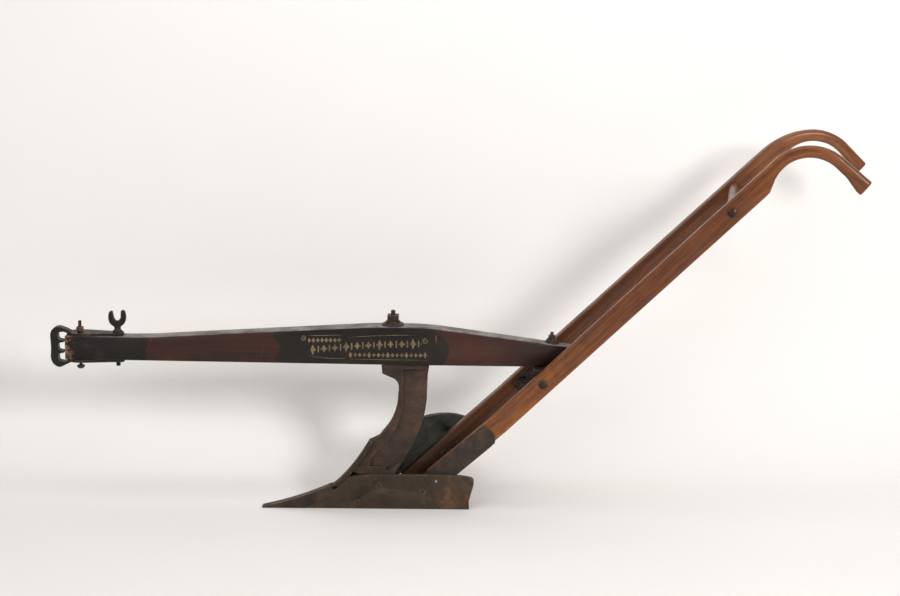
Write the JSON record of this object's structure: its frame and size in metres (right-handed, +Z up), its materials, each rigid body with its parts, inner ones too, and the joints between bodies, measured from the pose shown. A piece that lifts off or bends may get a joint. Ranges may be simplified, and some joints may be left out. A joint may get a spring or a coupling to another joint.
{
  "type": "walking plow",
  "caption": "Right-hand walking plow: wooden beam and curved wooden handles on a cast-iron standard, share, moldboard and landside, with a notched iron hitch clevis.",
  "frame": {"origin": "on the sole of the landside, in its middle plane, straight below the bolt that holds the beam to the standard", "axes": "+X runs back along the landside towards the handles, +Y out to the furrow side where the moldboard throws the soil, +Z up"},
  "size_m": [2.2901, 0.4633, 1.04],
  "materials": {
    "red_wood": "dark red paint under old varnish, black panels, worn edges",
    "brown_wood": "varnished bent wood, darkened by handling",
    "rust_iron": "brown rusted casting, traces of old paint",
    "moldboard_iron": "dark grey-green chilled iron, dull",
    "dark_iron": "black japanned iron, rubbed at the edges",
    "rust_steel": "rusted steel",
    "bright_steel": "rubbed bright end"
  },
  "bodies": {
    "plow_bottom": {"beam_seat": "dark_iron", "bracket_bolt_lower": "dark_iron", "bracket_bolt_lower_nut": "dark_iron", "bracket_bolt_upper": "dark_iron", "bracket_bolt_upper_nut": "dark_iron", "handle_bracket": "dark_iron", "handle_left": "brown_wood", "handle_right": "brown_wood", "handle_rung": "brown_wood", "handle_socket": "dark_iron", "landside": "rust_iron", "landside_bolt_lower": "dark_iron", "landside_bolt_lower_nut": "dark_iron", "landside_bolt_rear": "dark_iron", "landside_bolt_rear_nut": "dark_iron", "landside_bolt_upper": "dark_iron", "landside_bolt_upper_nut": "dark_iron", "landside_rivet": "bright_steel", "moldboard": "moldboard_iron", "moldboard_bolt_front": "dark_iron", "moldboard_bolt_front_nut": "dark_iron", "moldboard_bolt_rear": "dark_iron", "moldboard_bolt_rear_nut": "dark_iron", "rung_nut": "dark_iron", "rung_rod": "dark_iron", "seat_bolt_left": "dark_iron", "seat_bolt_left_nut": "dark_iron", "seat_bolt_right": "dark_iron", "seat_bolt_right_nut": "dark_iron", "share": "rust_iron", "share_bolt": "dark_iron", "share_bolt_nut": "dark_iron", "shin_piece": "rust_iron", "standard": "rust_iron", "standard_bolt": "dark_iron", "standard_collar": "dark_iron", "standard_nut": "dark_iron", "standard_washer": "dark_iron"},
    "beam": {"beam": "red_wood", "beam_rivet": "dark_iron", "tail_bolt": "dark_iron", "tail_nut": "dark_iron", "tail_washer": "dark_iron"},
    "clevis": {"clevis": "dark_iron"},
    "clevis_bolt": {"clevis_bolt": "dark_iron", "clevis_nut": "rust_steel", "clevis_collar": "dark_iron"},
    "wrench_pin": {"wrench_pin": "dark_iron"}
  },
  "joints": [
    {"name": "beam_swing", "type": "hinge", "parent": "plow_bottom", "child": "beam", "pos_m": [0, 0.075, 0.401], "axis": [0.0096, 0, 1], "range_deg": [-1.5, 1.5]},
    {"name": "clevis_swing", "type": "hinge", "parent": "beam", "child": "clevis", "pos_m": [-0.77196, 0.075, 0.40841], "axis": [0.0096, 0, 1], "range_deg": [-8, 8]},
    {"name": "clevis_bolt_lift", "type": "slide", "parent": "beam", "child": "clevis_bolt", "axis": [0.0096, 0, 1], "range_m": [0, 0.012]},
    {"name": "wrench_pin_lift", "type": "slide", "parent": "beam", "child": "wrench_pin", "axis": [0.0096, 0, 1], "range_m": [0, 0.11]}
  ]
}
